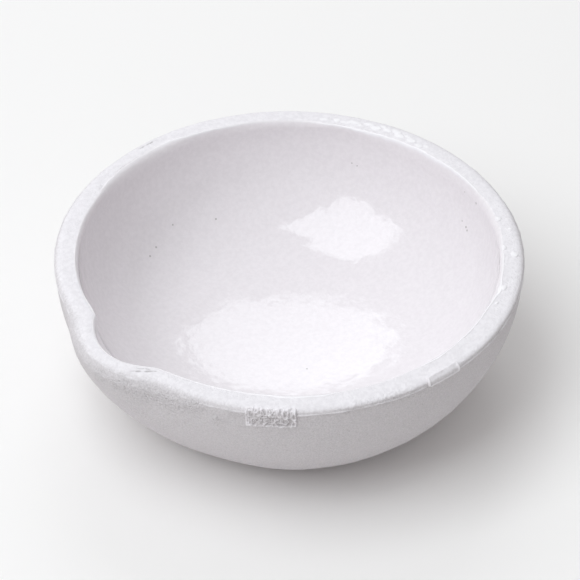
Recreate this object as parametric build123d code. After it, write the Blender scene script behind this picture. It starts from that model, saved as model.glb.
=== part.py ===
from build123d import *

import math
import os

# A thick-walled round dish of fired silica clay with a pouring lip, glazed inside and bare outside.
# Frame: millimetres, +Z up, origin at the centre of the flat foot, +X out through the pouring lip.

# Round dish
OUTER_RADIUS = 45.0
HEIGHT = 30.0
WALL = 4.5
FLOOR = 4.5
COAT = 0.4
WALL_CURVE = 33.1
KNUCKLE = 22.0
RIM_SHOULDER = 0.9
RIM_ROUND_WIDTH = 1.8
RIM_INNER_ROUND = 0.9

# Raised parting line around the outside, just under the rim
PARTING_PROUD = 0.2
PARTING_BOTTOM = 0.95
PARTING_TOP = 0.7

# Pouring lip: a hollow in the inner wall, a swelling of the outer wall and a dip in the rim
HOLLOW_RADIUS = 12.8
HOLLOW_REACH = 43.8
SWELL_RADIUS = 20.2
SWELL_REACH = 47.5
SWELL_DEPTH = 20.0
SWELL_CURVE = 24.7
DIP_DEPTH = 1.0
DIP_HALF_WIDTH = 14.0

# Raised pads: angle from the lip, width, how far they stand proud and where their edges lie below the rim
MARK_ANGLE = 46.6
MARK_WIDTH = 9.5
MARK_TOP = 0.25
MARK_BOTTOM = 4.2
MARK_PROUD = 0.45
MARK_CORNER = 0.8
MARK_ROWS = 2
MARK_BARS = 6
BAR_WIDTH = 0.7
BAR_HEIGHT = 1.1
BAR_PITCH = 1.35
BAR_PROUD = 0.25
ROW_PITCH = 1.5
SIZE_ANGLE = 89.8
SIZE_WIDTH = 7.6
SIZE_TOP = 0.0
SIZE_BOTTOM = 1.9
SIZE_PROUD = 0.25
SIZE_CORNER = 0.5

# Drops of glaze on top of the rim: radius of the circle they sit on, angle from the lip, drop radius
BEADS = [(42.0, 154, 0.5), (42.6, 149, 0.45), (42.6, 143, 0.4), (42.0, 140, 0.45), (42.1, 126, 0.5)]
BEAD_RISE = 0.45

# Room for tools that cut beyond the dish, and the width and depth of the slab that clears its top
CLEAR = 5.0
SLAB_WIDTH = 3 * OUTER_RADIUS
SLAB_DEPTH = 3 * CLEAR

# Values that follow from the ones above
SHOULDER_Z = HEIGHT - RIM_SHOULDER
INNER_RADIUS = OUTER_RADIUS - WALL


def arc(centre, radius, start, end):
    """A round arc between two angles in degrees, seen in the half section's X and Z."""
    points = []
    for angle in (start, (start + end) / 2, end):
        turn = math.radians(angle)
        points.append((centre[0] + radius * math.cos(turn), centre[1] + radius * math.sin(turn)))
    return ThreePointArc(*points)


def rim_round(radius, width):
    """The rim's outer rounding, from the shoulder in to the flat top."""
    share = math.sqrt(0.5)
    middle = (radius - width + width * share, SHOULDER_Z + RIM_SHOULDER * share)
    return ThreePointArc((radius, SHOULDER_Z), middle, (radius - width, HEIGHT))


def spin(lines):
    """A solid turned about Z from a closed half section drawn in X and Z."""
    return revolve(Plane.XZ * make_face(lines), Axis.Z)


def round_outside(proud=0.0):
    """The dish without its hollow and lip, grown sideways by proud."""
    centre = (OUTER_RADIUS - WALL_CURVE, SHOULDER_Z)
    curve = WALL_CURVE + proud
    wall = arc(centre, curve, -math.degrees(math.asin(SHOULDER_Z / curve)), 0)
    top = (OUTER_RADIUS - RIM_ROUND_WIDTH, HEIGHT)
    return spin([
        wall,
        rim_round(OUTER_RADIUS + proud, RIM_ROUND_WIDTH + proud),
        Polyline(top, (0, HEIGHT), (0, 0), wall @ 0),
    ])


def swelling(proud=0.0):
    """The bulge of the outer wall behind the pouring lip, rounded at the rim like the rest."""
    radius = SWELL_RADIUS + proud
    slope = math.degrees(math.asin(SWELL_DEPTH / SWELL_CURVE))
    side = arc((radius - SWELL_CURVE, SHOULDER_Z), SWELL_CURVE, -slope, 0)
    top = (SWELL_RADIUS - RIM_ROUND_WIDTH, HEIGHT)
    lobe = spin([
        side,
        rim_round(radius, RIM_ROUND_WIDTH + proud),
        Polyline(top, (0, HEIGHT), (0, SHOULDER_Z - SWELL_DEPTH), side @ 0),
    ])
    return Pos(SWELL_REACH - SWELL_RADIUS, 0, 0) * lobe


def outside(proud=0.0):
    return round_outside(proud) + swelling(proud)


def parting_line():
    """A thin raised ring that follows the outside, lip included."""
    low = HEIGHT - PARTING_BOTTOM
    high = HEIGHT - PARTING_TOP
    band = Pos(0, 0, (low + high) / 2) * Cylinder(SWELL_REACH + CLEAR, high - low)
    return outside(PARTING_PROUD) & band


def way_out(radius, top):
    """The hollow's opening: a rounded flare at the rim's inner edge and a straight run above it."""
    edge = arc((radius + RIM_INNER_ROUND, top - RIM_INNER_ROUND), RIM_INNER_ROUND, 180, 90)
    corner = (radius + RIM_INNER_ROUND, HEIGHT + CLEAR)
    return edge, Polyline(edge @ 1, corner, (0, HEIGHT + CLEAR))


def round_hollow(inset):
    """The round hollow: a wide floor curve, a tighter knuckle and an upright stretch under the rim."""
    radius = INNER_RADIUS - inset
    floor = FLOOR + inset
    knuckle = KNUCKLE - inset
    centre = radius - knuckle
    drop = SHOULDER_Z - floor
    bowl = (centre**2 + drop**2 - knuckle**2) / (2 * (drop - knuckle))
    lean = math.degrees(math.atan2(centre, floor + bowl - SHOULDER_Z))
    edge, opening = way_out(radius, HEIGHT)
    return spin([
        arc((0, floor + bowl), bowl, -90, lean - 90),
        arc((centre, SHOULDER_Z), knuckle, lean - 90, 0),
        edge,
        opening,
        Line((0, HEIGHT + CLEAR), (0, floor)),
    ])


def lip_hollow(inset):
    """The round-bottomed channel of the pouring lip."""
    radius = HOLLOW_RADIUS - inset
    low = HEIGHT - DIP_DEPTH - RIM_INNER_ROUND
    edge, opening = way_out(radius, HEIGHT - DIP_DEPTH)
    channel = spin([
        arc((0, low), radius, -90, 0),
        edge,
        opening,
        Line((0, HEIGHT + CLEAR), (0, low - radius)),
    ])
    return Pos(HOLLOW_REACH - HOLLOW_RADIUS, 0, 0) * channel


def hollow(inset=0.0):
    return round_hollow(inset) + lip_hollow(inset)


def above_rim(drop=0.0):
    """Everything over the rim, whose top dips in a long low curve at the lip."""
    curve = (DIP_HALF_WIDTH**2 + DIP_DEPTH**2) / (2 * DIP_DEPTH)
    dip = Pos(SWELL_REACH, 0, HEIGHT - DIP_DEPTH - drop + curve) * Cylinder(
        curve, OUTER_RADIUS, rotation=(0, 90, 0)
    )
    slab = Box(SLAB_WIDTH, SLAB_WIDTH, SLAB_DEPTH, align=(Align.CENTER, Align.CENTER, Align.MIN))
    return dip + Pos(0, 0, HEIGHT - drop) * slab


def dish_body():
    return outside() + parting_line() - hollow(-COAT) - above_rim()


def glaze_lining():
    return hollow(-COAT) - hollow() - above_rim(RIM_INNER_ROUND)


def pad_block(angle, width, top, bottom, corner):
    """The upright block that a raised pad fills, with rounded lower corners."""
    block = Box(CLEAR, width, bottom - top, align=(Align.CENTER, Align.CENTER, Align.MIN))
    lower = block.faces().sort_by(Axis.Z)[0].edges().filter_by(Axis.X)
    block = fillet(lower, corner)
    return Rot(0, 0, angle) * Pos(OUTER_RADIUS, 0, HEIGHT - bottom) * block


def pad(body, angle, width, top, bottom, corner, proud):
    return (round_outside(proud) & pad_block(angle, width, top, bottom, corner)) - body


def mark_bars():
    """Rows of plain raised bars in the place of a stamp."""
    first = -BAR_PITCH * (MARK_BARS - 1) / 2
    bars = []
    for row in range(MARK_ROWS):
        z = HEIGHT - MARK_BOTTOM + BAR_HEIGHT + row * ROW_PITCH
        for column in range(MARK_BARS):
            place = Rot(0, 0, MARK_ANGLE) * Pos(OUTER_RADIUS, first + column * BAR_PITCH, z)
            bars.append(place * Box(CLEAR, BAR_WIDTH, BAR_HEIGHT))
    return bars


def mark_tablet(body):
    plain = pad(body, MARK_ANGLE, MARK_WIDTH, MARK_TOP, MARK_BOTTOM, MARK_CORNER, MARK_PROUD)
    skin = round_outside(MARK_PROUD + BAR_PROUD) - round_outside(MARK_PROUD)
    return plain + [skin & bar for bar in mark_bars()]


def size_tablet(body):
    return pad(body, SIZE_ANGLE, SIZE_WIDTH, SIZE_TOP, SIZE_BOTTOM, SIZE_CORNER, SIZE_PROUD)


def glaze_beads():
    """Low caps of solidified drops, each a separate solid standing on the rim."""
    drops = []
    top = Box(SLAB_WIDTH, SLAB_WIDTH, CLEAR, align=(Align.CENTER, Align.CENTER, Align.MIN))
    for circle, angle, radius in BEADS:
        sink = radius * (1 - BEAD_RISE)
        ball = Rot(0, 0, angle) * Pos(circle, 0, HEIGHT - sink) * Sphere(radius)
        drops.append(ball & (Pos(0, 0, HEIGHT) * top))
    return Compound(children=[solid for drop in drops for solid in drop.solids()])


def main():
    os.makedirs("parts", exist_ok=True)
    body = dish_body()
    parts = {
        "dish_body": body,
        "glaze_lining": glaze_lining(),
        "glaze_beads": glaze_beads(),
        "mark_tablet": mark_tablet(body),
        "size_tablet": size_tablet(body),
    }
    for name, shape in parts.items():
        export_step(shape, f"parts/{name}.step")


main()
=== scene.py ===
import math

import bpy
import numpy as np
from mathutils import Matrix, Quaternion, Vector


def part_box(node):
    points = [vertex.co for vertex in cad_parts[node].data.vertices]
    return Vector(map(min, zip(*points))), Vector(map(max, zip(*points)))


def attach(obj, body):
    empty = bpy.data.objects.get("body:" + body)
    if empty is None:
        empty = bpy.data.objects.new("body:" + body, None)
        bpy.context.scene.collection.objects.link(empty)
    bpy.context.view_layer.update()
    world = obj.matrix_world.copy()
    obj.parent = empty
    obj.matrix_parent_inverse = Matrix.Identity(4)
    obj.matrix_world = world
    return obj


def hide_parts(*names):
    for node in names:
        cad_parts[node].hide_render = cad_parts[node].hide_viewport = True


# A glazed ceramic evaporating dish with a pouring lip, on a pale floor in soft studio light.
# Metres, +Z up, +X out through the lip. Angles round the dish are in degrees from +X.

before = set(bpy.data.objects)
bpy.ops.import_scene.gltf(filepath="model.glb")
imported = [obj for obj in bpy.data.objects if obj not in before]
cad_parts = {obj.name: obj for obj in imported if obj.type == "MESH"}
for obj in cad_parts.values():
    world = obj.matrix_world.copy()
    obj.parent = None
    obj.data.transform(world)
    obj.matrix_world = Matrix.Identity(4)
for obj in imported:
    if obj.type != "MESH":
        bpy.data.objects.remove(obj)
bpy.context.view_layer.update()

MM = 0.001
QUARTER = math.pi / 2
BODY_LOW, BODY_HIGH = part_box("dish_body")
COAT_LOW, COAT_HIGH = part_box("glaze_lining")

# Round dish, in line with the CAD nodes' boxes. The body's box is wider by the CAD's raised line. The
# outer wall is one arc, and the inner wall a wide floor curve with a tighter knuckle above it.
CAD_LINE_PROUD = 0.2 * MM
COAT = 0.4 * MM
HEIGHT = BODY_HIGH[2]
RADIUS = -BODY_LOW[0] - CAD_LINE_PROUD
INNER = COAT_HIGH[1] - COAT
FLOOR = COAT_LOW[2] + COAT
WALL_CURVE = 33.1 * MM
KNUCKLE = 22.0 * MM
RIM_DEPTH = 0.9 * MM
RIM_WIDTH = 1.8 * MM
SHOULDER_Z = HEIGHT - RIM_DEPTH
FOOT_EDGE = 0.8 * MM

# Pouring lip: a swelling of the outer wall, a channel in the inner wall and a dip in the rim. The
# channel is turned by a fraction of a degree, ends a little short of the CAD's and fades out down the
# wall. It has a sharp corner on one side, a soft one on the other, and both soften further down. The
# cheek is a slight swelling of the inner wall beside the sharp corner.
SWELL_RADIUS = 20.2 * MM
SWELL_FADE = 22.0 * MM
SWELL_CENTRE = BODY_HIGH[0] - SWELL_RADIUS
SWELL_BLEND = 1.5 * MM
HOLLOW_RADIUS = 12.8 * MM
HOLLOW_FADE = 8.5 * MM
HOLLOW_STEEP = 0.2 * MM
HOLLOW_SHORT = 0.25 * MM
HOLLOW_CENTRE = COAT_HIGH[0] - COAT - HOLLOW_SHORT - HOLLOW_RADIUS
HOLLOW_TURN = 0.6
SHARP_CORNER = 0.15 * MM
SOFT_CORNER = 0.9 * MM
CORNER_GROWTH = 0.10
CHEEK_ANGLE = -15.0
CHEEK_REACH = 5.0
CHEEK_PROUD = 0.25 * MM
DIP_DEPTH = 1.0 * MM
DIP_ANGLE = 14.0
DIP_FADE = 12.0 * MM

# Stretches where the rim's outer and inner roundings are deeper or wider than elsewhere, or less so:
# angle, half angle and amount. The inner wall takes up the change over the blend's depth.
DEEPER = [(6.0, 32.0, 1.7 * MM), (90.0, 38.0, -0.35 * MM)]
WIDER = [(2.0, 24.0, 1.5 * MM), (90.0, 38.0, -0.8 * MM)]
EDGE_WIDTH = 0.8 * MM
EDGE_WIDER = [(278.0, 15.0, 1.1 * MM), (156.0, 9.0, 0.3 * MM), (231.0, 9.0, 0.3 * MM)]
EDGE_DEPTH = 0.9 * MM
BLEND_DEPTH = 12.0 * MM
EDGE_DEEPER = [
    (156.0, 10.0, 0.7 * MM), (188.0, 22.0, 2.4 * MM), (231.0, 9.0, 0.6 * MM), (252.0, 12.0, 1.4 * MM),
    (279.0, 15.0, 1.6 * MM), (320.0, 22.0, 0.5 * MM),
]

# Unevenness of the clay, the glaze and their edges, as layers of noise: size, height and seed
CLAY_LAYERS = [(15.0 * MM, 0.10 * MM, 1), (4.5 * MM, 0.055 * MM, 2), (1.5 * MM, 0.030 * MM, 3)]
SCUFF_LAYERS = [(1.2 * MM, 0.10 * MM, 15)]
GLAZE_LAYERS = [(3.4 * MM, 0.035 * MM, 31), (1.7 * MM, 0.018 * MM, 32), (16.0 * MM, 0.05 * MM, 33)]
GLAZE_EDGE_LAYERS = [(5.0 * MM, 0.10 * MM, 21), (1.6 * MM, 0.10 * MM, 22)]
SEAM_DRIFT = [(6.0 * MM, 0.10 * MM, 11)]
GROOVE_STRAY = [(1.0 * MM, 0.22 * MM, 14)]
PAD_STRAY = [(0.9 * MM, 0.09 * MM, 41)]
STAMP_GRAIN = [(0.4 * MM, 0.10 * MM, 44)]
FIELD_GRAIN = [(0.5 * MM, 0.03 * MM, 45)]

# Uneven wear, as noise: size, seed, mean strength and how far it strays from the mean
SEAM_WEAR = (2.5 * MM, 12, 0.75, 0.5)
GROOVE_WEAR = (0.8 * MM, 16, 0.5, 1.2)
RIDGE_WEAR = (1.1 * MM, 42, 0.75, 0.5)
STAMP_WEAR = (0.55 * MM, 43, 0.75, 0.9)
CRUMB_WEAR = (0.8 * MM, 47, 0.7, 0.8)

# Raised line left by the mould: it dips at the lip by a share of the rim's dip, is fainter there, and
# fades out at the sides of each pad over a few tenths of a degree
SEAM_Z = HEIGHT - 1.05 * MM
SEAM_WIDTH = 0.16 * MM
SEAM_RISE = 0.34 * MM
SEAM_DIP = 0.5
SEAM_FAINT = [(4.0, 34.0, 0.4)]
SEAM_FADE = 0.8

# Grooves along the rim: angle, half angle, distance from the axis, its change for each degree, width
# and depth. They are broken here and there, and fade out a little below the rim's top.
GROOVES = [
    (12.6, 2.6, 43.0 * MM, -0.45 * MM, 0.22 * MM, 0.28 * MM),
    (12.0, 2.0, 42.5 * MM, -0.40 * MM, 0.14 * MM, 0.18 * MM),
    (271.0, 4.0, 43.8 * MM, 0.0, 0.20 * MM, 0.22 * MM),
]
GROOVE_KEPT = 0.25
GROOVE_REACH = 3.0 * MM
GROOVE_FADE = 1.0 * MM

# Rough places in the clay, in millimetres and degrees: distance from the axis, angle, height, reach
# and strength
SCUFFS = [
    (45.0, 29.4, 28.4, 1.6, 0.8), (45.0, 33.5, 25.6, 1.3, 1.0), (45.0, 64.0, 28.8, 0.8, 1.0),
    (44.7, 66.5, 29.2, 1.1, 0.75), (44.7, 69.5, 29.1, 1.3, 0.75), (44.7, 73.0, 29.1, 1.4, 0.75),
    (44.7, 76.5, 29.0, 1.4, 0.75), (44.8, 80.5, 28.9, 1.3, 0.75), (41.9, 293.6, 29.8, 0.9, 0.8),
    (47.0, 3.0, 26.6, 2.6, 0.9), (46.6, 9.0, 26.6, 2.6, 0.9), (46.0, 15.0, 26.8, 2.8, 1.0),
    (45.4, 21.0, 27.2, 2.6, 1.0), (45.2, 26.5, 27.6, 2.0, 0.8), (45.0, 37.0, 28.2, 1.4, 0.6),
    (44.5, 10.0, 22.0, 4.5, 0.5), (44.0, 24.0, 23.0, 4.5, 0.5),
]

# Flatter place low on the wall, beside the lip
FLAT_ANGLE = 30.0
FLAT_HALF_ANGLE = 16.0
FLAT_Z = 11.0 * MM
FLAT_HALF_HEIGHT = 9.0 * MM
FLAT_DEPTH = 0.7 * MM

# The foot is even, and the clay's unevenness sets in above it
FOOT_EVEN = 0.2 * MM
FOOT_FADE = 1.0 * MM

# Pads on the outside: angle, width, how far along the section from the rim's flat top they start and
# end, and how high the outline round them stands. A pad rises over a short slope, its edge is sunk a
# little into the clay, and its back is deeper still. PAD_FROM is how far in on the flat top the section
# that they follow begins.
MARK_PAD = {"angle": 46.6, "width": 9.5 * MM, "start": 1.0 * MM, "end": 5.3 * MM, "ridge": 0.24 * MM}
SIZE_PAD = {"angle": 89.8, "width": 7.6 * MM, "start": 0.8 * MM, "end": 2.9 * MM, "ridge": 0.30 * MM}
PAD_FROM = 1.2 * MM
PAD_PROUD = 0.25 * MM
PAD_CORNER = 0.5 * MM
PAD_MARGIN = 0.02 * MM
PAD_SLOPE = 0.22 * MM
PAD_SUNK = 0.12 * MM
PAD_LIP = 0.08 * MM
PAD_BACK = 0.3 * MM
RIDGE_INSET = 0.28 * MM
RIDGE_WIDTH = 0.22 * MM
STAMP_INSET = 0.5 * MM
PIT_LEVEL = 0.06 * MM

# Worn bars in the place of a stamp: an upright and a level stroke for each place in a row, shifted in
# turn to a few kinds of figure that stand for no letter, with crumbs of clay over them
BAR_ROWS = (2.2 * MM, 3.75 * MM)
BAR_COLUMNS = 9
BAR_PITCH = 0.95 * MM
BAR_KINDS = 4
UPRIGHT_SHIFT = 0.22 * MM
LEVEL_SHIFT = 0.34 * MM
STROKE = 0.14 * MM
UPRIGHT_REACH = 0.62 * MM
LEVEL_REACH = 0.38 * MM
STROKE_RISE = 0.65
CRUMB_SIZE = 0.9 * MM
CRUMB_SEED = 46
CRUMB_STEEP = 3.0
STAMP_RISE = 0.36 * MM

# The glaze's edge on the rim: angle, distance out from the inner wall in mm, and how thick its bead is.
# The edge starts just under the clay, the bead stands a little way in from it, and a film runs on. The
# bead's inset and width are in the measure that glaze_rim_rows gives.
GLAZE_OUTLINE = [
    (0, 0.8, 0.4), (15, 0.6, 0.7), (30, 0.6, 0.9), (45, 0.8, 0.9), (50, 1.3, 1.0), (60, 1.3, 1.0),
    (63, 0.7, 0.6), (81, 0.6, 0.5), (84, 0.5, 0.9), (93, 1.2, 0.9), (97, 0.8, 0.3), (102, 0.5, 0.9),
    (115, 0.5, 0.9), (120, 0.9, 0.9), (125, 1.6, 0.7), (129, 1.0, 0.45), (140, 0.8, 0.4), (143, 0.8, 0.4),
    (147, 1.1, 0.0), (165, 1.1, 0.0), (169, 1.0, 0.7), (186, 0.7, 1.0), (200, 0.6, 1.0), (211, 0.5, 1.0),
    (221, 0.5, 0.6), (223, 0.9, 0.1), (240, 0.9, 0.2), (250, 0.8, 0.7), (260, 1.1, 0.8), (266, 1.7, 0.6),
    (276, 1.6, 0.3), (290, 1.6, 0.3), (296, 0.8, 0.1), (330, 0.8, 0.1), (340, 0.5, 0.5), (348, 0.5, 0.5),
]
BEAD = 0.10 * MM
BEAD_FILM = 0.045 * MM
BEAD_INSET = 0.35
BEAD_WIDTH = 0.25
EDGE_SUNK = 0.03 * MM
GLAZE_WAVES_FADE = 2.0 * MM

# Specks in the glaze, in millimetres and degrees: height, angle and radius. Each is darkest over a
# share of its radius.
SPECKS = [
    (14.8, 272.8, 0.25), (13.4, 283.0, 0.28), (13.0, 287.3, 0.28), (13.1, 257.2, 0.28), (28.0, 165.3, 0.3),
    (27.8, 171.4, 0.2), (21.8, 169.5, 0.2), (21.5, 167.0, 0.34), (21.2, 166.0, 0.3), (4.78, 80.4, 0.25),
    (21.7, 210.1, 0.2), (22.0, 211.8, 0.2),
]
SPECK_CORE = 0.4

# Drops and low patches of glaze on the rim, in millimetres and degrees: distance from the axis, angle,
# length along the rim, width and rise. Each is a dome of a few rings, whose edge is let into the rim.
DROPS = [
    (41.8, 154.0, 1.6, 1.3, 0.14), (43.3, 149.4, 1.1, 0.9, 0.11), (43.2, 139.2, 2.0, 1.5, 0.14),
    (41.4, 142.0, 1.4, 1.0, 0.13), (42.1, 125.6, 1.7, 1.1, 0.13), (42.0, 119.3, 0.9, 0.7, 0.10),
    (42.0, 221.0, 2.2, 0.9, 0.05), (42.3, 217.5, 1.6, 1.3, 0.05), (41.9, 215.0, 2.4, 0.9, 0.05),
    (42.5, 212.5, 3.0, 1.3, 0.06), (41.9, 210.5, 1.5, 0.8, 0.05), (42.9, 208.5, 2.2, 1.2, 0.06),
    (42.3, 206.3, 2.6, 1.5, 0.06), (43.3, 204.5, 1.5, 0.9, 0.05), (42.6, 203.0, 2.0, 1.2, 0.06),
    (43.1, 200.5, 2.4, 1.3, 0.06), (42.3, 199.0, 2.6, 1.4, 0.06), (42.9, 196.8, 1.6, 1.0, 0.05),
    (42.2, 195.3, 2.4, 1.5, 0.06), (41.8, 192.3, 2.0, 1.0, 0.05), (42.5, 190.5, 1.4, 0.9, 0.05),
]
DROP_WAVE = 0.08
DROP_RINGS = (1.0, 0.92, 0.75, 0.5, 0.25)
DROP_SPOKES = 20
DROP_FULLNESS = 0.7
DROP_CLEAR = 0.02 * MM
DROP_SUNK = 0.10 * MM
DROP_TIP = 0.01 * MM
DROP_UNDER = 0.05 * MM

# Grid round the dish. Its rings stop short of the axis, where a pole closes them. Under the glaze, the
# clay turns even over a few rings. In the rim's zone, the lip's outer curve turns into its inner one.
SPOKES = 768
POLE_GAP = 1.5 * MM
RIM_RINGS = 8
RIM_ZONE = 3.5 * MM
UNDER_RINGS = 6
COAT_RINGS = 11
GLAZE_RINGS = 97
SIDE_SHARE = 0.6
PHI = np.linspace(0.0, 2 * math.pi, SPOKES, endpoint=False)
OUTWARD = np.stack([np.cos(PHI), np.sin(PHI), 0 * PHI], axis=-1)

# The glaze's back is a little less deep than the clay under it, so that the two stay apart
GLAZE_BACK = COAT * 0.97

# Colours
# The wall's colours, darker than the rim's, are partly the clay's own tone and partly painted shade
RIM_COLOUR = (0.885, 0.855, 0.885)
RIM_SHADE = (0.825, 0.795, 0.825)
# Painted shade for the clay's pits
PIT_SHADE_COLOUR = (0.40, 0.375, 0.38)
WALL_LIGHT = (0.71, 0.675, 0.695)
WALL_DARK = (0.62, 0.59, 0.605)
GLAZE_COLOUR = (0.865, 0.825, 0.85)
GLAZE_SHADE = (0.825, 0.785, 0.81)
# The bead is whiter partly as thicker glaze and partly as a painted highlight
BEAD_WHITE_AND_HIGHLIGHT = (0.94, 0.92, 0.95)
DROP_COLOUR = (0.91, 0.885, 0.91)
DROP_SHADE = (0.86, 0.835, 0.86)
SPECK_COLOUR = (0.52, 0.49, 0.49)
FLOOR_COLOUR = (0.92, 0.90, 0.89)
LAMP_COLOUR = (0.93, 0.975, 1.0)

# Surfaces: roughness, depth of the bump, and size of the features
CLAY_ROUGHNESS = 0.85
GLAZE_ROUGHNESS = 0.05
DROP_ROUGHNESS = 0.36
FLOOR_ROUGHNESS = 0.9
CLAY_BUMP = 0.32 * MM
PAD_BUMP = 0.15 * MM
GLAZE_BUMP = 0.035 * MM
SAND_SIZE = 0.32 * MM
CLOUD_SIZE = 0.9 * MM
FRAY_SIZE = 0.5 * MM
GRIT_SIZE = 0.45 * MM
LUMP_SIZE = 0.7 * MM
LUMP_SHARE = 2.6
PEEL_SIZE = 1.1 * MM
FINE_PEEL_SIZE = 0.5 * MM
FINE_PEEL_SHARE = 0.16
NOISE_ROUGHNESS = 0.6
SAND_RANGE = (0.3, 0.7)
TOP_RANGE = (0.35, 0.65)
CLOUD_RANGE = (0.3, 0.7)

# The clay turns from rim to wall, in colour and in grain, between these depths below the rim. The darker
# wall colour and the fall to it over the rim's outer rounding are partly the clay's own tone and partly
# painted shade. The change of colour is frayed by up to so much.
FRAY = 0.9 * MM
WALL_COLOUR_DEPTHS = (0.5 * MM, 1.4 * MM)
WALL_GRAIN_DEPTHS = (0.4 * MM, 1.6 * MM)
RIM_GRAIN = 0.6

# Relief, in metres, over which painted shade darkens the pits and a painted highlight pales the crests, and
# by how much
PIT_SHADE_RANGE = (-0.14 * MM, -0.01 * MM)
PIT_SHADE_SHARE = 0.6
CREST_HIGHLIGHT_RANGE = (0.06 * MM, 0.20 * MM)
CREST_HIGHLIGHT_SHARE = 0.7

# Camera, aimed at the rim's centre but for a small shift
CAMERA_AZIMUTH = 50.8
CAMERA_ELEVATION = 39.98
CAMERA_DISTANCE = 12.0 * RADIUS
AIM_BELOW = 7.62 * MM
AIM_RIGHT = 0.17 * MM
LENS = 174.5
SENSOR = 36.0

# Light: a pale room that darkens towards one side, and three softboxes, each with its name, shape,
# azimuth, elevation, roll, width, height, power and shift along its own width and height
ROOM_STRENGTH = 0.535
ROOM_DARK_AZIMUTH = CAMERA_AZIMUTH + 75
ROOM_FADE = (0.3, 1.0)
ROOM_DARK_SHARE = 0.51
SOFTBOXES = [
    ("back_octabox", "ELLIPSE", CAMERA_AZIMUTH + 180.0, 42.2, 0.0, 0.52, 0.58, 1.42, (0.0, 0.0)),
    ("left_strip_1", "RECTANGLE", CAMERA_AZIMUTH - 62.7, 63.1, 13.0, 0.34, 0.97, 3.0, (-0.18, 0.055)),
    ("left_strip_2", "RECTANGLE", CAMERA_AZIMUTH - 62.7, 63.1, 13.0, 0.37, 0.96, 3.2, (0.175, -0.10)),
]
FLOOR_REACH = 3.0


# ---------------------------------------------------------------- numbers

def smooth(x):
    """Rises from 0 to 1 with x, level at both ends."""
    x = np.clip(x, 0.0, 1.0)
    return x * x * (3.0 - 2.0 * x)


def smooth_max(a, b, reach):
    """The larger of a and b, with the corner between them rounded over reach."""
    share = np.clip(0.5 + 0.5 * (a - b) / reach, 0.0, 1.0)
    return b * (1.0 - share) + a * share + reach * share * (1.0 - share)


def turn_from(phi, degrees):
    """Signed angle in degrees from a direction round the dish."""
    return (np.degrees(phi) - degrees + 180.0) % 360.0 - 180.0


def humps(phi, stretches):
    """Sum of flat-topped humps round the dish, each given as angle, half angle and height."""
    total = 0.0 * phi
    for angle, reach, height in stretches:
        total = total + height * np.exp(-((turn_from(phi, angle) / reach) ** 4))
    return total


def angle_of(points):
    """Direction of each point round the dish, in radians."""
    return np.arctan2(points[..., 1], points[..., 0])


def grain(points, size, seed):
    """Gradient noise from about -1 to 1, with features as large as size."""
    rng = np.random.default_rng(seed)
    table = rng.permutation(256)
    table = np.concatenate([table, table, table])
    slopes = rng.normal(size=(256, 3))
    slopes /= np.linalg.norm(slopes, axis=1)[:, None]
    # The shift keeps every cell's number above 0
    place = points / size + 1000.0
    cell = np.floor(place).astype(int)
    part = place - cell
    ease = part ** 3 * (part * (part * 6.0 - 15.0) + 10.0)
    cell &= 255
    total = 0.0
    for corner in np.ndindex(2, 2, 2):
        key = table[cell[..., 0] + corner[0]] + cell[..., 1] + corner[1]
        key = table[table[key] + cell[..., 2] + corner[2]]
        value = (slopes[key] * (part - np.array(corner))).sum(axis=-1)
        for axis, side in enumerate(corner):
            value = value * (ease[..., axis] if side else 1.0 - ease[..., axis])
        total = total + value
    return total * 1.6


def layers(points, noises):
    """Sum of layers of noise, each given as size, height and seed."""
    total = 0.0
    for size, height, seed in noises:
        total = total + height * grain(points, size, seed)
    return total


def uneven(points, size, seed, mean, stray):
    """A strength that strays from its mean from place to place."""
    return mean + stray * grain(points, size, seed)


# ---------------------------------------------------------------- the shape of the dish

def lip_dip(phi):
    """How far the rim drops at the pouring lip."""
    return DIP_DEPTH * np.exp(-((turn_from(phi, 0.0) / DIP_ANGLE) ** 2))


def circle_reach(phi, centre, radius):
    """Distance from the axis to the far side of an off-centre circle, or 0 where it isn't met."""
    inside = radius ** 2 - (centre * np.sin(phi)) ** 2
    met = (inside > 0) & (np.cos(phi) > 0)
    return np.where(met, centre * np.cos(phi) + np.sqrt(np.maximum(inside, 0.0)), 0.0)


def outer_push(phi, z):
    """How far the swelling behind the lip pushes the outer wall out."""
    push = smooth_max(circle_reach(phi, SWELL_CENTRE, SWELL_RADIUS), RADIUS, SWELL_BLEND) - RADIUS
    return push * (1.0 - smooth((SHOULDER_Z - z) / SWELL_FADE))


def inner_push(phi, z):
    """How far the lip's channel is hollowed out of the inner wall, with one corner sharper."""
    depth = np.clip(HEIGHT - z, 0.0, None)
    around = phi - math.radians(HOLLOW_TURN)
    corner = np.where(turn_from(around, 0.0) < 0, SHARP_CORNER, SOFT_CORNER)
    corner = corner + CORNER_GROWTH * np.minimum(depth, HOLLOW_FADE)
    push = smooth_max(circle_reach(around, HOLLOW_CENTRE, HOLLOW_RADIUS), INNER, corner) - INNER
    cheek = CHEEK_PROUD * np.exp(-((turn_from(phi, CHEEK_ANGLE) / CHEEK_REACH) ** 2))
    return (push - cheek) * (1.0 - smooth((depth - HOLLOW_STEEP) / HOLLOW_FADE))


def edge_size(phi):
    """Width and depth of the rim's inner rounding."""
    return EDGE_WIDTH + humps(phi, EDGE_WIDER), EDGE_DEPTH + humps(phi, EDGE_DEEPER)


def glaze_outline(phi):
    """How far out from the inner wall the glaze ends, and how thick its bead is there."""
    angles, out, bead = np.array(GLAZE_OUTLINE, dtype=float).T
    around = np.degrees(phi) % 360.0
    return np.interp(around, angles, out, period=360.0) * MM, np.interp(around, angles, bead, period=360.0)


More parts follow.
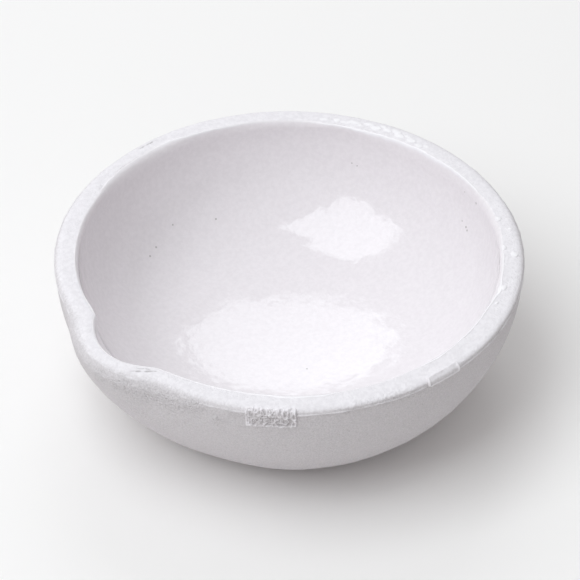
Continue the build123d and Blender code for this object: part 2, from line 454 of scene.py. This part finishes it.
def foot_rows():
    """The flat underside, from near the middle out and round its edge, as radius and height."""
    edge = RADIUS - WALL_CURVE + math.sqrt(WALL_CURVE ** 2 - SHOULDER_Z ** 2)
    flat = edge - FOOT_EDGE
    rows = [(r, 0.0) for r in np.linspace(POLE_GAP, flat, 7)]
    slope = math.asin(SHOULDER_Z / WALL_CURVE)
    end = (edge + FOOT_EDGE * math.sin(slope), FOOT_EDGE * math.cos(slope))
    for t in (0.25, 0.5, 0.75):
        rows.append(((1 - t) ** 2 * flat + 2 * t * (1 - t) * edge + t * t * end[0], t * t * end[1]))
    return np.array(rows)


def wall_radius(z):
    """Radius of the outer wall at a height."""
    below = np.clip(SHOULDER_Z - z, 0.0, None)
    return RADIUS - WALL_CURVE + np.sqrt(WALL_CURVE ** 2 - below ** 2)


def outer_section(phi):
    """Radius and height up the outer wall and over the rim's outer rounding, a column for each angle."""
    depth = RIM_DEPTH + humps(phi, DEEPER)
    width = RIM_WIDTH + humps(phi, WIDER)
    low = SHOULDER_Z - WALL_CURVE * math.sin(math.asin(SHOULDER_Z / WALL_CURVE) - FOOT_EDGE / WALL_CURVE)
    top = HEIGHT - depth
    # The rows are closer together at the top, for the raised line
    share = np.concatenate([np.linspace(0.0, 0.915, 40), np.linspace(0.92, 1.0, 20)])[:, None]
    z = low + (top - low) * share
    turn = np.linspace(0.0, QUARTER, 20)[1:, None]
    radius = np.concatenate([wall_radius(z), wall_radius(top) - width * (1 - np.cos(turn))])
    return radius, np.concatenate([z, top + depth * np.sin(turn)])


def bowl_curve(inset, count):
    """Inner wall from just under the rim down to near the middle, sunk by inset into the clay."""
    knuckle = KNUCKLE + inset
    floor = FLOOR - inset
    centre = INNER - KNUCKLE
    drop = SHOULDER_Z - floor
    bowl = (centre ** 2 + drop ** 2 - knuckle ** 2) / (2 * (drop - knuckle))
    lean = math.atan2(centre, floor + bowl - SHOULDER_Z)
    side = int(count * SIDE_SHARE)
    turn = np.linspace(QUARTER, lean, side)
    upper = np.stack([centre + knuckle * np.sin(turn), SHOULDER_Z - knuckle * np.cos(turn)], axis=1)
    turn = np.linspace(lean, POLE_GAP / bowl, count - side + 1)[1:]
    lower = np.stack([bowl * np.sin(turn), floor + bowl * (1 - np.cos(turn))], axis=1)
    return np.concatenate([upper, lower])


def knuckle_radius(z, inset):
    """Radius of the upper inner wall at a height, sunk by inset into the clay."""
    below = np.clip(SHOULDER_Z - z, 0.0, 0.9 * KNUCKLE)
    return INNER - KNUCKLE + np.sqrt((KNUCKLE + inset) ** 2 - below ** 2)


def bowl_rows(inset, count):
    """The inner wall below the rim's inner rounding, a column for each spoke."""
    rows = bowl_curve(inset, count)[1:]
    depth = HEIGHT - rows[:, 1:]
    start = HEIGHT - SHOULDER_Z
    lowered = (edge_size(PHI)[1] - start)[None, :] * (1.0 - smooth((depth - start) / BLEND_DEPTH))
    z = rows[:, 1:] - lowered
    return rows[:, :1] + knuckle_radius(z, inset) - knuckle_radius(rows[:, 1:], inset), z


def spread(radius, z, push, phi=None):
    """Points round the dish from section radii and heights, with the pouring lip worked in."""
    phi = PHI[None, :] if phi is None else phi
    radius = radius + push
    lowered = lip_dip(phi) * (1.0 - smooth((HEIGHT - z) / DIP_FADE))
    return np.stack(np.broadcast_arrays(radius * np.cos(phi), radius * np.sin(phi), z - lowered), axis=-1)


def grid_normals(grid, wrap=True):
    """Unit normals of a grid of points: rows along the section, columns round the dish."""
    along = np.gradient(grid, axis=0)
    if wrap:
        around = np.roll(grid, -1, axis=1) - np.roll(grid, 1, axis=1)
    else:
        around = np.gradient(grid, axis=1)
    normal = np.cross(around, along)
    return normal / np.maximum(np.linalg.norm(normal, axis=-1, keepdims=True), 1e-12)


def clay_height(points):
    """Unevenness of the pressed clay, in metres along the normal."""
    return layers(points, CLAY_LAYERS)


def seam_height(points):
    """The raised line, uneven and worn, and left out beside and under the two pads."""
    phi = angle_of(points)
    flat = points * [1, 1, 0]
    drift = layers(flat, SEAM_DRIFT)
    across = (points[..., 2] + lip_dip(phi) * SEAM_DIP - SEAM_Z - drift) / SEAM_WIDTH
    strength = uneven(flat, *SEAM_WEAR) - humps(phi, SEAM_FAINT)
    for pad in (MARK_PAD, SIZE_PAD):
        gap = np.abs(turn_from(phi, pad["angle"])) - math.degrees(pad["width"] / 2 / RADIUS)
        strength = strength * smooth(gap / SEAM_FADE + 0.5)
    return SEAM_RISE * np.clip(strength, 0.0, 1.0) * np.exp(-across ** 2)


def groove_height(points):
    """Short ragged grooves along the rim."""
    phi = angle_of(points)
    out = np.hypot(points[..., 0], points[..., 1])
    on_top = smooth((points[..., 2] - HEIGHT + GROOVE_REACH) / GROOVE_FADE)
    stray = layers(points, GROOVE_STRAY)
    broken = GROOVE_KEPT + (1.0 - GROOVE_KEPT) * smooth(uneven(points, *GROOVE_WEAR))
    total = 0.0
    for angle, reach, radius, slope, width, depth in GROOVES:
        turn = turn_from(phi, angle)
        across = (out - radius - slope * turn - stray) / width
        total = total - depth * broken * np.exp(-((turn / reach) ** 4) - across ** 2) * on_top
    return total


def scuffed(points):
    """How rough the clay is at each point, beyond its usual grain."""
    total = 0.0
    for radius, angle, z, reach, strength in SCUFFS:
        turn = math.radians(angle)
        centre = np.array([radius * math.cos(turn), radius * math.sin(turn), z]) * MM
        total = total + strength * np.exp(-((points - centre) ** 2).sum(axis=-1) / (reach * MM) ** 2)
    return np.minimum(total, 1.0)


def pressed_flat(points):
    """The lower wall is a little flatter beside the lip."""
    beside = np.exp(-((turn_from(angle_of(points), FLAT_ANGLE) / FLAT_HALF_ANGLE) ** 2))
    low = np.exp(-(((points[..., 2] - FLAT_Z) / FLAT_HALF_HEIGHT) ** 2))
    return -FLAT_DEPTH * beside * low


# ---------------------------------------------------------------- meshes

def set_attribute(piece, name, values):
    """Stores a number for each point of a piece, for its material to read."""
    layer = piece.data.attributes.new(name, "FLOAT", "POINT")
    layer.data.foreach_set("value", np.ascontiguousarray(values, dtype=np.float32))


def below_rim(points):
    """Depth of each point below the rim's top, which dips at the lip."""
    return HEIGHT - lip_dip(angle_of(points)) - points[..., 2]


def new_object(name, points, faces, material, soft=True):
    """A mesh object in the scene, shaded smooth if it is soft and flat otherwise."""
    mesh = bpy.data.meshes.new(name)
    mesh.from_pydata(points.tolist(), [], faces)
    mesh.materials.append(material)
    mesh.polygons.foreach_set("use_smooth", [soft] * len(mesh.polygons))
    mesh.update()
    piece = bpy.data.objects.new(name, mesh)
    bpy.context.scene.collection.objects.link(piece)
    return piece


def grid_faces(rows, columns, wrap, start=0):
    """Quads between the rows of a grid whose points follow each other row by row."""
    faces = []
    for row in range(rows - 1):
        here = start + row * columns
        for column in range(columns if wrap else columns - 1):
            after = (column + 1) % columns
            faces.append((here + column, here + after, here + columns + after, here + columns + column))
    return faces


def turned_object(name, grid, material, first_pole, last_pole):
    """A closed object from rings of points, with a pole at either end."""
    rows = grid.shape[0]
    points = np.concatenate([grid.reshape(-1, 3), np.array([first_pole, last_pole])])
    faces = grid_faces(rows, SPOKES, True)
    last = (rows - 1) * SPOKES
    for spoke in range(SPOKES):
        after = (spoke + 1) % SPOKES
        faces.append((after, spoke, len(points) - 2))
        faces.append((last + spoke, last + after, len(points) - 1))
    return new_object(name, points, faces, material)


def shown(piece, node):
    """Puts a piece on the body, in the place of its CAD node, which it hides."""
    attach(piece, "root")
    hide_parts(node)


def under_glaze(inset, count):
    """The clay's inner side under the glaze: from the rim's top down the rounding and the wall."""
    width, depth = edge_size(PHI)
    turn = np.linspace(0.0, QUARTER, 7)[:, None]
    edge_z = HEIGHT - depth[None, :] * (1 - np.cos(turn))
    edge = knuckle_radius(edge_z, 0.0) + width[None, :] * (1 - np.sin(turn))
    edge = edge + inset * smooth(turn / QUARTER) * np.sin(turn)
    radius, z = bowl_rows(inset, count)
    return np.concatenate([edge, radius]), np.concatenate([edge_z, z])


def clay_grid():
    """The even clay surface, from the foot out, up, over the rim and inside, and its row count outside."""
    radius, z = outer_section(PHI)
    inner_radius, inner_z = under_glaze(COAT, COAT_RINGS)
    share = np.linspace(0.0, 1.0, RIM_RINGS + 1)[1:, None]
    radius = np.concatenate([radius, radius[-1:] * (1 - share) + inner_radius[:1] * share])
    z = np.concatenate([z, np.full((RIM_RINGS, SPOKES), HEIGHT)])
    inward = smooth((RADIUS - radius) / (RADIUS - inner_radius[:1])) * (z > HEIGHT - RIM_ZONE)
    phi = PHI[None, :]
    foot = foot_rows()
    under = spread(foot[:, :1], foot[:, 1:], 0.0)
    outside = spread(radius, z, outer_push(phi, z) * (1 - inward) + inner_push(phi, z) * inward)
    inside = spread(inner_radius[1:], inner_z[1:], inner_push(phi, inner_z[1:]))
    return np.concatenate([under, outside, inside]), len(under) + len(outside)


def clay_weight(grid, outside_rows):
    """Share of the unevenness that each point takes: none on the flat foot, and none under the glaze."""
    last = outside_rows - 1
    rows = np.interp(np.arange(len(grid)), [last, last + UNDER_RINGS], [1.0, 0.0])
    return rows[:, None] * smooth((grid[..., 2] - FOOT_EVEN) / FOOT_FADE)


def build_clay(material):
    """The bare clay vessel, in the place of the CAD body."""
    grid, outside_rows = clay_grid()
    weight = clay_weight(grid, outside_rows)
    scuffs = scuffed(grid)
    relief = seam_height(grid) + groove_height(grid)
    raised = clay_height(grid) + pressed_flat(grid) + relief + scuffs * layers(grid, SCUFF_LAYERS)
    rim_gap = below_rim(grid)
    grid = grid + grid_normals(grid) * (raised * weight)[..., None]
    body = turned_object("clay_body", grid, material, (0, 0, 0), (0, 0, FLOOR - COAT))
    set_attribute(body, "below_rim", np.append(rim_gap.ravel(), [HEIGHT, HEIGHT]))
    set_attribute(body, "relief", np.append((relief * weight).ravel(), [0.0, 0.0]))
    set_attribute(body, "scuffed", np.append(scuffs.ravel(), [0.0, 0.0]))
    shown(body, "dish_body")


def glaze_rim_rows(phi):
    """The glaze from its ragged edge on the rim's top down over the inner rounding.

    Gives the points, how far each is lifted off the clay, how closely it follows the clay's
    unevenness, and how thick the bead is there.
    """
    width, depth = edge_size(phi)
    out, bead = glaze_outline(phi)
    out = out + layers(OUTWARD * RADIUS, GLAZE_EDGE_LAYERS)
    # The way along the section: millimetres on the flat top, above 0, and radians on the rounding, below
    start = np.where(out < width, -np.arcsin(np.clip((width - out) / width, 0.0, 0.95)), (out - width) / MM)
    # The rows are closer together at the edge, for the bead
    share = np.concatenate([[0.0, 0.03, 0.07, 0.12, 0.18], np.linspace(0.26, 0.96, 9)])[:, None]
    along = start[None, :] * (1 - share) - QUARTER * share
    turn = np.clip(-along, 0.0, QUARTER)
    z = HEIGHT - depth[None, :] * (1 - np.cos(turn))
    radius = knuckle_radius(z, 0.0) + width[None, :] * (1 - np.sin(turn)) + np.maximum(along, 0.0) * MM
    sunk = COAT * smooth(turn / QUARTER) * np.sin(turn) + EDGE_SUNK
    thick = bead[None, :] * np.exp(-((start[None, :] - along - BEAD_INSET) / BEAD_WIDTH) ** 2)
    lift = smooth(share * 6.0) * BEAD_FILM * bead + thick * BEAD - (1 - smooth(share * 9.0)) * sunk
    follow = np.clip(1 + along / QUARTER, 0, 1)
    return spread(radius, z, inner_push(phi[None, :], z)), lift, follow, thick


def glaze_front():
    """The uneven glazed surface from its edge on the rim to the middle, and its bead on the rim."""
    rim, lift, follow, thick = glaze_rim_rows(PHI)
    radius, z = bowl_rows(0.0, GLAZE_RINGS)
    wall = spread(radius, z, inner_push(PHI[None, :], z))
    none = np.zeros(wall.shape[:2])
    front = np.concatenate([rim, wall])
    inside = smooth((HEIGHT - front[..., 2]) / GLAZE_WAVES_FADE)
    raised = np.concatenate([lift, none]) + clay_height(front) * np.concatenate([follow, none])
    raised = raised + layers(front, GLAZE_LAYERS) * inside
    return front + grid_normals(front) * raised[..., None], np.concatenate([thick, none])


def build_glaze(material):
    """The coat of glaze, closed at its back just above the clay."""
    front, bead = glaze_front()
    radius, z = under_glaze(GLAZE_BACK, COAT_RINGS)
    back = spread(radius[1:], z[1:], inner_push(PHI[None, :], z[1:]))[::-1]
    grid = np.concatenate([back, front])
    coat = turned_object("glaze_coat", grid, material, (0, 0, FLOOR - GLAZE_BACK), (0, 0, FLOOR))
    bead = np.concatenate([np.zeros(back.shape[:2]), bead])
    set_attribute(coat, "bead", np.append(bead.ravel(), [0.0, 0.0]))
    shown(coat, "glaze_lining")


def pad_base(phi, along):
    """Points on the outside: one angle for each column, and how far each row is along the section."""
    radius, z = outer_section(phi)
    radius = np.concatenate([radius, [[RADIUS - RIM_WIDTH - PAD_FROM] * len(phi)]])[::-1]
    z = np.concatenate([z, [[HEIGHT] * len(phi)]])[::-1]
    length = np.hypot(np.diff(radius, axis=0), np.diff(z, axis=0)).cumsum(axis=0) - PAD_FROM
    length = np.concatenate([[[-PAD_FROM] * len(phi)], length])
    columns = range(len(phi))
    radius = np.stack([np.interp(along, length[:, c], radius[:, c]) for c in columns], axis=1)
    z = np.stack([np.interp(along, length[:, c], z[:, c]) for c in columns], axis=1)
    return spread(radius, z, outer_push(phi[None, :], z), phi[None, :])


def pad_inward(pad, across, along, base):
    """Distance in from the pad's ragged outline, whose corners are round."""
    middle = (pad["start"] + pad["end"]) / 2
    half = np.array([pad["width"] / 2, (pad["end"] - pad["start"]) / 2])
    offset = np.stack(np.broadcast_arrays(np.abs(across), np.abs(along - middle)), axis=-1)
    beyond = offset - (half - PAD_CORNER)
    inward = PAD_CORNER - np.linalg.norm(np.maximum(beyond, 0.0), axis=-1) - PAD_MARGIN
    inward = inward - np.minimum(np.maximum(beyond[..., 0], beyond[..., 1]), 0.0)
    return inward + layers(base, PAD_STRAY)


def slab_faces(rows, columns):
    """Faces of a closed slab: a front grid, a back grid after it, and the four edges between them."""
    count = rows * columns
    faces = grid_faces(rows, columns, False)
    faces += [tuple(reversed(face)) for face in grid_faces(rows, columns, False, count)]
    last = count - columns
    for column in range(columns - 1):
        faces.append((column + 1, column, count + column, count + column + 1))
        faces.append((last + column, last + column + 1, count + last + column + 1, count + last + column))
    for row in range(rows - 1):
        left = row * columns
        right = left + columns - 1
        faces.append((left, left + columns, count + left + columns, count + left))
        faces.append((right + columns, right, count + right, count + right + columns))
    return faces


def build_pad(name, node, pad, relief, material, columns, rows):
    """A pad: a low plate with a raised, worn outline, let a little into the clay."""
    across = np.linspace(-pad["width"] / 2, pad["width"] / 2, columns)[None, :]
    along = np.linspace(pad["end"], pad["start"], rows)[:, None]
    base = pad_base(math.radians(pad["angle"]) + across[0] / RADIUS, along[:, 0])
    normal = grid_normals(base, False)
    inward = pad_inward(pad, across, along, base)
    plate = PAD_PROUD * smooth(inward / PAD_SLOPE) - PAD_SUNK * (1 - smooth(inward / PAD_LIP))
    ridge = pad["ridge"] * np.exp(-((inward - RIDGE_INSET) / RIDGE_WIDTH) ** 2)
    worn = uneven(base, *RIDGE_WEAR)
    stamp = relief(across, along, base) * smooth(inward / STAMP_INSET)
    front = base + normal * (clay_height(base) + plate + ridge * worn + stamp)[..., None]
    back = base - normal * PAD_BACK
    points = np.concatenate([front.reshape(-1, 3), back.reshape(-1, 3)])
    piece = new_object(name, points, slab_faces(rows, columns), material)
    set_attribute(piece, "below_rim", np.tile(below_rim(base).ravel(), 2))
    set_attribute(piece, "relief", np.tile((stamp + ridge - PIT_LEVEL).ravel(), 2))
    shown(piece, node)


def stamped_rows(across, along, base):
    """Two rows of worn raised bars in the place of a stamp, in the pad's own measure."""
    raised = 0.0 * (across + along)
    most = (BAR_KINDS - 1) / 2
    for row, middle in enumerate(BAR_ROWS):
        for column in range(BAR_COLUMNS):
            centre = (column - (BAR_COLUMNS - 1) / 2) * BAR_PITCH
            shift = (column * 5 + row * 3) % BAR_KINDS - most
            side = centre + UPRIGHT_SHIFT * shift / most
            level = middle + LEVEL_SHIFT * shift
            upright = np.exp(-((across - side) / STROKE) ** 4 - ((along - middle) / UPRIGHT_REACH) ** 6)
            flat = np.exp(-((along - level) / STROKE) ** 4 - ((across - centre) / LEVEL_REACH) ** 6)
            raised = np.maximum(raised, np.maximum(upright, flat))
    strokes = STROKE_RISE * raised * smooth(uneven(base, *STAMP_WEAR))
    crumbs = np.clip(1.0 - CRUMB_STEEP * np.abs(grain(base, CRUMB_SIZE, CRUMB_SEED)), 0.0, 1.0)
    relief = np.maximum(strokes, crumbs * smooth(uneven(base, *CRUMB_WEAR)))
    return STAMP_RISE * relief - PIT_LEVEL + layers(base, STAMP_GRAIN)


def plain_field(across, along, base):
    """A pad's plain, slightly grainy face."""
    return PIT_LEVEL + layers(base, FIELD_GRAIN)


def drop_points(radius, angle, length, width, rise, seed):
    """One low dome of glaze with an uneven outline: rings from its edge in, and its top and bottom."""
    rng = np.random.default_rng(seed)
    turn = np.linspace(0.0, 2 * math.pi, DROP_SPOKES, endpoint=False)
    wave = np.cos(2 * turn + rng.uniform(0, 6)) + np.cos(3 * turn + rng.uniform(0, 6))
    wave = 1 + DROP_WAVE * wave
    share = np.array(DROP_RINGS)[:, None]
    u = share * wave * np.cos(turn) * length / 2 * MM
    v = share * wave * np.sin(turn) * width / 2 * MM
    phi = math.radians(angle) + u / (radius * MM)
    out = radius * MM + v
    edge, depth = edge_size(phi)
    over = np.clip((INNER + edge - out) / edge, 0.0, 1.0)
    sag = depth * (1 - np.sqrt(1 - over ** 2))
    ring = np.stack([out * np.cos(phi), out * np.sin(phi), HEIGHT - sag], axis=-1)
    ring[..., 2] += clay_height(ring) + rise * MM * (1 - share ** 2) ** DROP_FULLNESS + DROP_CLEAR
    ring[0, :, 2] -= DROP_SUNK
    centre = ring[-1].mean(axis=0) + [0, 0, DROP_TIP]
    under = ring[0].mean(axis=0) - [0, 0, DROP_UNDER]
    return ring, centre, under


def build_drops(material):
    """All the drops and patches of glaze on the rim, as one piece."""
    points, faces = [], []
    start = 0
    for seed, drop in enumerate(DROPS):
        ring, centre, under = drop_points(*drop, seed)
        rows, columns = ring.shape[:2]
        points.append(np.concatenate([ring.reshape(-1, 3), [centre, under]]))
        faces += grid_faces(rows, columns, True, start)
        last = start + (rows - 1) * columns
        tip = last + columns
        for column in range(columns):
            after = (column + 1) % columns
            faces.append((last + column, last + after, tip))
            faces.append((start + after, start + column, tip + 1))
        start = tip + 2
    shown(new_object("glaze_drops", np.concatenate(points), faces, material), "glaze_beads")


# ---------------------------------------------------------------- materials

def principled(name, colour, roughness):
    """A new material, its node tree and its shader."""
    material = bpy.data.materials.new(name)
    material.use_nodes = True
    tree = material.node_tree
    shader = tree.nodes["Principled BSDF"]
    shader.inputs["Base Color"].default_value = (*colour, 1.0)
    shader.inputs["Roughness"].default_value = roughness
    return material, tree, shader


def noise_node(tree, size, detail, roughness=0.5):
    """Noise in the object's own coordinates, with features as large as size in metres."""
    place = tree.nodes.new("ShaderNodeTexCoord")
    noise = tree.nodes.new("ShaderNodeTexNoise")
    noise.inputs["Scale"].default_value = 1.0 / size
    noise.inputs["Detail"].default_value = detail
    noise.inputs["Roughness"].default_value = roughness
    tree.links.new(place.outputs["Object"], noise.inputs["Vector"])
    return noise.outputs["Fac"]


def math_node(tree, operation, first, second):
    """Joins two values, each a number or another node's output."""
    node = tree.nodes.new("ShaderNodeMath")
    node.operation = operation
    for socket, value in zip(node.inputs, (first, second)):
        if isinstance(value, (int, float)):
            socket.default_value = value
        else:
            tree.links.new(value, socket)
    return node.outputs[0]


def range_node(tree, value, low, high, start=0.0, end=1.0):
    """Maps a value smoothly from low..high to start..end."""
    node = tree.nodes.new("ShaderNodeMapRange")
    node.interpolation_type = "SMOOTHSTEP"
    tree.links.new(value, node.inputs["Value"])
    for name, number in (("From Min", low), ("From Max", high), ("To Min", start), ("To Max", end)):
        node.inputs[name].default_value = number
    return node.outputs["Result"]


def mix_node(tree, share, first, second):
    """Mixes two colours, given as numbers or as outputs of other nodes."""
    node = tree.nodes.new("ShaderNodeMix")
    node.data_type = "RGBA"
    tree.links.new(share, node.inputs["Factor"])
    for socket, colour in ((node.inputs[6], first), (node.inputs[7], second)):
        if isinstance(colour, tuple):
            socket.default_value = (*colour, 1.0)
        else:
            tree.links.new(colour, socket)
    return node.outputs[2]


def bump_node(tree, height, distance):
    """Normals of a surface that is raised by height times distance, in metres."""
    node = tree.nodes.new("ShaderNodeBump")
    node.inputs["Distance"].default_value = distance
    tree.links.new(height, node.inputs["Height"])
    return node.outputs["Normal"]


def attribute_node(tree, name):
    """The number that the mesh stores for each point under this name."""
    node = tree.nodes.new("ShaderNodeAttribute")
    node.attribute_name = name
    return node.outputs["Fac"]


def clay_colour(tree, gap):
    """Whiter over the rim and sandier down the wall, the change partly painted shade, with painted shade in
    the pits and a painted highlight on the crests.
    """
    sand = range_node(tree, noise_node(tree, SAND_SIZE, 2.0, NOISE_ROUGHNESS), *SAND_RANGE)
    wall = mix_node(tree, sand, WALL_DARK, WALL_LIGHT)
    cloud = range_node(tree, noise_node(tree, CLOUD_SIZE, 3.0, NOISE_ROUGHNESS), *TOP_RANGE)
    top = mix_node(tree, cloud, RIM_SHADE, RIM_COLOUR)
    fray = math_node(tree, "MULTIPLY", noise_node(tree, FRAY_SIZE, 2.0, NOISE_ROUGHNESS), FRAY)
    # The fall from rim colour to wall colour over the outer rounding is partly painted shade
    edge = range_node(tree, math_node(tree, "ADD", gap, fray), *WALL_COLOUR_DEPTHS)
    colour = mix_node(tree, edge, top, wall)
    # Painted shade in the pits of the relief and a painted highlight on its crests
    pit_shade = range_node(tree, attribute_node(tree, "relief"), *PIT_SHADE_RANGE, PIT_SHADE_SHARE, 0.0)
    crest_highlight = range_node(tree, attribute_node(tree, "relief"), *CREST_HIGHLIGHT_RANGE, 0.0, CREST_HIGHLIGHT_SHARE)
    return mix_node(tree, crest_highlight, mix_node(tree, pit_shade, colour, PIT_SHADE_COLOUR), RIM_COLOUR)


def clay_material(name, bump):
    """Sandy bisque, smoother over the rim and lumpy where it is scuffed."""
    material, tree, shader = principled(name, RIM_COLOUR, CLAY_ROUGHNESS)
    gap = attribute_node(tree, "below_rim")
    tree.links.new(clay_colour(tree, gap), shader.inputs["Base Color"])
    rough = range_node(tree, gap, *WALL_GRAIN_DEPTHS, RIM_GRAIN, 1.0)
    grit = math_node(tree, "MULTIPLY", noise_node(tree, GRIT_SIZE, 3.0, NOISE_ROUGHNESS), rough)
    lumps = math_node(tree, "MULTIPLY", noise_node(tree, LUMP_SIZE, 2.0, NOISE_ROUGHNESS), LUMP_SHARE)
    lumps = math_node(tree, "MULTIPLY", lumps, attribute_node(tree, "scuffed"))
    height = math_node(tree, "ADD", grit, lumps)
    tree.links.new(bump_node(tree, height, bump), shader.inputs["Normal"])
    return material


def bowl_radius(z):
    """Distance of the glazed surface from the axis at a height."""
    rows = bowl_curve(0.0, 200)
    return float(np.interp(z, rows[::-1, 1], rows[::-1, 0]))


def speck_node(tree, specks):
    """1 in the middle of each speck and 0 away from them."""
    place = tree.nodes.new("ShaderNodeTexCoord")
    dark = 0.0
    for z, angle, size in specks:
        turn = math.radians(angle)
        radius = bowl_radius(z * MM)
        away = tree.nodes.new("ShaderNodeVectorMath")
        away.operation = "DISTANCE"
        tree.links.new(place.outputs["Object"], away.inputs[0])
        away.inputs[1].default_value = (radius * math.cos(turn), radius * math.sin(turn), z * MM)
        pit = range_node(tree, away.outputs["Value"], SPECK_CORE * size * MM, size * MM, 1.0, 0.0)
        dark = math_node(tree, "MAXIMUM", dark, pit)
    return dark


def glaze_material(name, specks, light, shade, roughness):
    """Glossy white glaze with an orange-peel surface."""
    material, tree, shader = principled(name, light, roughness)
    peel = noise_node(tree, PEEL_SIZE, 2.0)
    fine = math_node(tree, "MULTIPLY", noise_node(tree, FINE_PEEL_SIZE, 1.0), FINE_PEEL_SHARE)
    height = math_node(tree, "ADD", peel, fine)
    cloud = range_node(tree, noise_node(tree, CLOUD_SIZE, 3.0, NOISE_ROUGHNESS), *CLOUD_RANGE)
    colour = mix_node(tree, cloud, shade, light)
    # The bead is painted whiter: partly thicker glaze, partly a painted highlight along the glaze's edge
    colour = mix_node(tree, attribute_node(tree, "bead"), colour, BEAD_WHITE_AND_HIGHLIGHT)
    if specks:
        dark = speck_node(tree, specks)
        colour = mix_node(tree, dark, colour, SPECK_COLOUR)
        height = math_node(tree, "SUBTRACT", height, dark)
    tree.links.new(colour, shader.inputs["Base Color"])
    tree.links.new(bump_node(tree, height, GLAZE_BUMP), shader.inputs["Normal"])
    return material


# ---------------------------------------------------------------- studio

def direction(azimuth, elevation):
    """Unit vector towards a point in the sky, from angles in degrees."""
    a, e = math.radians(azimuth), math.radians(elevation)
    return Vector((math.cos(e) * math.cos(a), math.cos(e) * math.sin(a), math.sin(e)))


def add_camera():
    """Looks down over the dish with the lip at the lower left."""
    rim = Vector((0, 0, HEIGHT))
    back = direction(CAMERA_AZIMUTH, CAMERA_ELEVATION)
    right = direction(CAMERA_AZIMUTH + 90.0, 0.0)
    aim = rim - back.cross(right) * AIM_BELOW + right * AIM_RIGHT
    data = bpy.data.cameras.new("camera")
    data.lens = LENS
    data.sensor_width = SENSOR
    camera = bpy.data.objects.new("camera", data)
    camera.location = rim + back * CAMERA_DISTANCE
    camera.rotation_euler = (camera.location - aim).to_track_quat("Z", "Y").to_euler()
    bpy.context.scene.collection.objects.link(camera)
    bpy.context.scene.camera = camera


def add_softbox(name, shape, azimuth, elevation, roll, width, height, power, aside):
    """A softbox a metre away, facing the dish, then moved aside along its own width and height."""
    data = bpy.data.lights.new(name, "AREA")
    data.shape = shape
    data.size = width
    data.size_y = height
    data.energy = power
    data.color = LAMP_COLOUR
    lamp = bpy.data.objects.new(name, data)
    lamp.location = direction(azimuth, elevation)
    facing = lamp.location.to_track_quat("Z", "Y")
    turned = facing @ Quaternion((0, 0, 1), math.radians(roll))
    lamp.rotation_euler = turned.to_euler()
    lamp.location += turned @ Vector((*aside, 0.0))
    bpy.context.scene.collection.objects.link(lamp)


def add_world():
    """A pale room that darkens towards one side."""
    world = bpy.data.worlds.new("studio")
    world.use_nodes = True
    tree = world.node_tree
    place = tree.nodes.new("ShaderNodeTexCoord")
    facing = tree.nodes.new("ShaderNodeVectorMath")
    facing.operation = "DOT_PRODUCT"
    tree.links.new(place.outputs["Generated"], facing.inputs[0])
    facing.inputs[1].default_value = direction(ROOM_DARK_AZIMUTH, 0)
    shade = range_node(tree, facing.outputs["Value"], *ROOM_FADE, 1.0, ROOM_DARK_SHARE)
    backdrop = tree.nodes["Background"]
    backdrop.inputs["Color"].default_value = (1, 1, 1, 1)
    tree.links.new(math_node(tree, "MULTIPLY", shade, ROOM_STRENGTH), backdrop.inputs["Strength"])
    bpy.context.scene.world = world


def add_floor():
    """A plain square floor under the dish, much wider than the view."""
    corners = [(-1, -1, 0), (1, -1, 0), (1, 1, 0), (-1, 1, 0)]
    points = np.array(corners) * FLOOR_REACH
    material = principled("floor", FLOOR_COLOUR, FLOOR_ROUGHNESS)[0]
    new_object("floor", points, [(0, 1, 2, 3)], material, False)


# ---------------------------------------------------------------- the scene

pad_material = clay_material("pad_clay", PAD_BUMP)
build_clay(clay_material("bare_clay", CLAY_BUMP))
build_glaze(glaze_material("glaze", SPECKS, GLAZE_COLOUR, GLAZE_SHADE, GLAZE_ROUGHNESS))
build_drops(glaze_material("glaze_drop", [], DROP_COLOUR, DROP_SHADE, DROP_ROUGHNESS))
build_pad("mark_pad", "mark_tablet", MARK_PAD, stamped_rows, pad_material, 150, 64)
build_pad("size_pad", "size_tablet", SIZE_PAD, plain_field, pad_material, 110, 30)

add_floor()
add_camera()
add_world()
for softbox in SOFTBOXES:
    add_softbox(*softbox)
bpy.context.scene.view_settings.view_transform = "Standard"
